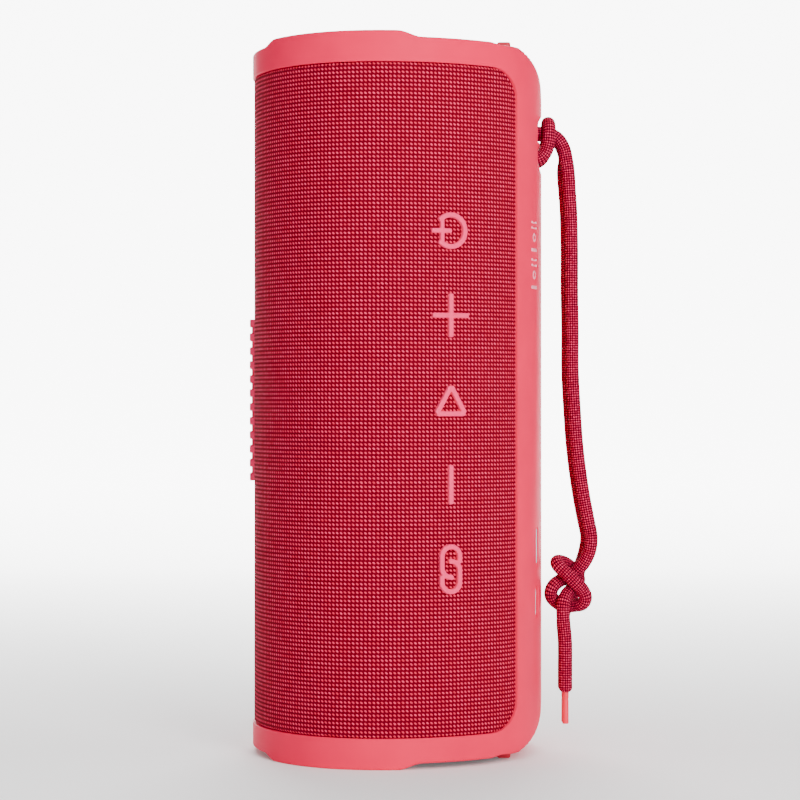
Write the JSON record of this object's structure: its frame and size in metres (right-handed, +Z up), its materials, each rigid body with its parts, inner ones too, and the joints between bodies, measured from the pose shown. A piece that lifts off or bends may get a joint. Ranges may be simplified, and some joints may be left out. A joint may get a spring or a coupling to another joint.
{
  "type": "portable party speaker",
  "caption": "Upright portable cylinder speaker with a woven sleeve, moulded spine and rims, raised keys, a light strip, a charging socket and a knotted cord strap.",
  "frame": {"origin": "middle of the footprint on the surface that the speaker stands on", "axes": "+Z up the speaker's axis, +X out of the charging socket, -X out of the badge, the middle of the spine is 17.5 degrees round from +X toward +Y, the keys look out between +X and -Y"},
  "size_m": [0.1, 0.093, 0.208],
  "materials": {
    "frame_plastic": "fine satin, coral red",
    "sleeve_cloth": "plain woven mesh, crimson with pink high points",
    "key_plastic": "satin, light pink",
    "inner_plastic": "fine grain, black",
    "rubber": "matt black",
    "steel": "plain",
    "plate_aluminium": "spun",
    "board": "circuit board, satin",
    "cell_wrap": "shrink wrap",
    "light_diffuser": "milky diffuser, lit",
    "strap_cord": "round braid, crimson with pink flecks",
    "cord_tip": "shrunk plastic tip"
  },
  "bodies": {
    "speaker": {"outer_frame": "frame_plastic", "fabric_sleeve": "sleeve_cloth", "grille": "inner_plastic", "inner_barrel": "inner_plastic", "end_baffle_top": "inner_plastic", "end_trim_top": "inner_plastic", "radiator_basket_top": "inner_plastic", "radiator_surround_top": "rubber", "spine_foot_top": "frame_plastic", "end_screw_1_top": "steel", "end_screw_2_top": "steel", "end_screw_3_top": "steel", "end_screw_4_top": "steel", "end_baffle_bottom": "inner_plastic", "end_trim_bottom": "inner_plastic", "radiator_basket_bottom": "inner_plastic", "radiator_surround_bottom": "rubber", "spine_foot_bottom": "frame_plastic", "end_screw_1_bottom": "steel", "end_screw_2_bottom": "steel", "end_screw_3_bottom": "steel", "end_screw_4_bottom": "steel", "woofer_basket": "inner_plastic", "woofer_surround": "rubber", "woofer_magnet": "steel", "tweeter_housing": "inner_plastic", "main_board": "board", "usb_c_socket": "steel", "light_pipe": "light_diffuser", "battery_cell_1": "cell_wrap", "battery_cell_2": "cell_wrap", "battery_cradle": "inner_plastic", "button_board": "board", "key_switch_1": "inner_plastic", "key_switch_2": "inner_plastic", "key_switch_3": "inner_plastic", "key_switch_4": "inner_plastic", "key_switch_5": "inner_plastic", "lanyard_bar": "frame_plastic", "badge": "key_plastic", "strap_hitch": "strap_cord", "strap_strand_near": "strap_cord", "strap_strand_far": "strap_cord", "strap_knot": "strap_cord", "strap_tail_near": "strap_cord", "strap_tail_far": "strap_cord", "aglet_near": "cord_tip", "aglet_far": "cord_tip"},
    "power_key": {"power_key": "key_plastic"},
    "volume_up_key": {"volume_up_key": "key_plastic"},
    "play_key": {"play_key": "key_plastic"},
    "volume_down_key": {"volume_down_key": "key_plastic"},
    "link_key": {"link_key": "key_plastic"},
    "radiator_top": {"radiator_plate_top": "plate_aluminium", "radiator_weight_top": "steel"},
    "radiator_bottom": {"radiator_plate_bottom": "plate_aluminium", "radiator_weight_bottom": "steel"},
    "woofer": {"woofer_cone": "inner_plastic"},
    "tweeter": {"tweeter_dome": "sleeve_cloth"}
  },
  "joints": [
    {"name": "power_key_press", "type": "slide", "parent": "speaker", "child": "power_key", "axis": [-0.6691, 0.7431, 0], "range_m": [0, 0.0007], "stiffness_N_per_m": 150},
    {"name": "volume_up_key_press", "type": "slide", "parent": "speaker", "child": "volume_up_key", "axis": [-0.6691, 0.7431, 0], "range_m": [0, 0.0007], "stiffness_N_per_m": 150},
    {"name": "play_key_press", "type": "slide", "parent": "speaker", "child": "play_key", "axis": [-0.6691, 0.7431, 0], "range_m": [0, 0.0007], "stiffness_N_per_m": 150},
    {"name": "volume_down_key_press", "type": "slide", "parent": "speaker", "child": "volume_down_key", "axis": [-0.6691, 0.7431, 0], "range_m": [0, 0.0007], "stiffness_N_per_m": 150},
    {"name": "link_key_press", "type": "slide", "parent": "speaker", "child": "link_key", "axis": [-0.6691, 0.7431, 0], "range_m": [0, 0.0007], "stiffness_N_per_m": 150},
    {"name": "radiator_top_travel", "type": "slide", "parent": "speaker", "child": "radiator_top", "axis": [0, 0, 1], "range_m": [-0.002, 0.002], "stiffness_N_per_m": 2500},
    {"name": "radiator_bottom_travel", "type": "slide", "parent": "speaker", "child": "radiator_bottom", "axis": [0, 0, 1], "range_m": [-0.002, 0.002], "stiffness_N_per_m": 2500},
    {"name": "woofer_travel", "type": "slide", "parent": "speaker", "child": "woofer", "axis": [-1, 0, 0], "range_m": [-0.0015, 0.0015], "stiffness_N_per_m": 1200},
    {"name": "tweeter_travel", "type": "slide", "parent": "speaker", "child": "tweeter", "axis": [-1, 0, 0], "range_m": [-0.0003, 0.0003], "stiffness_N_per_m": 1200}
  ]
}
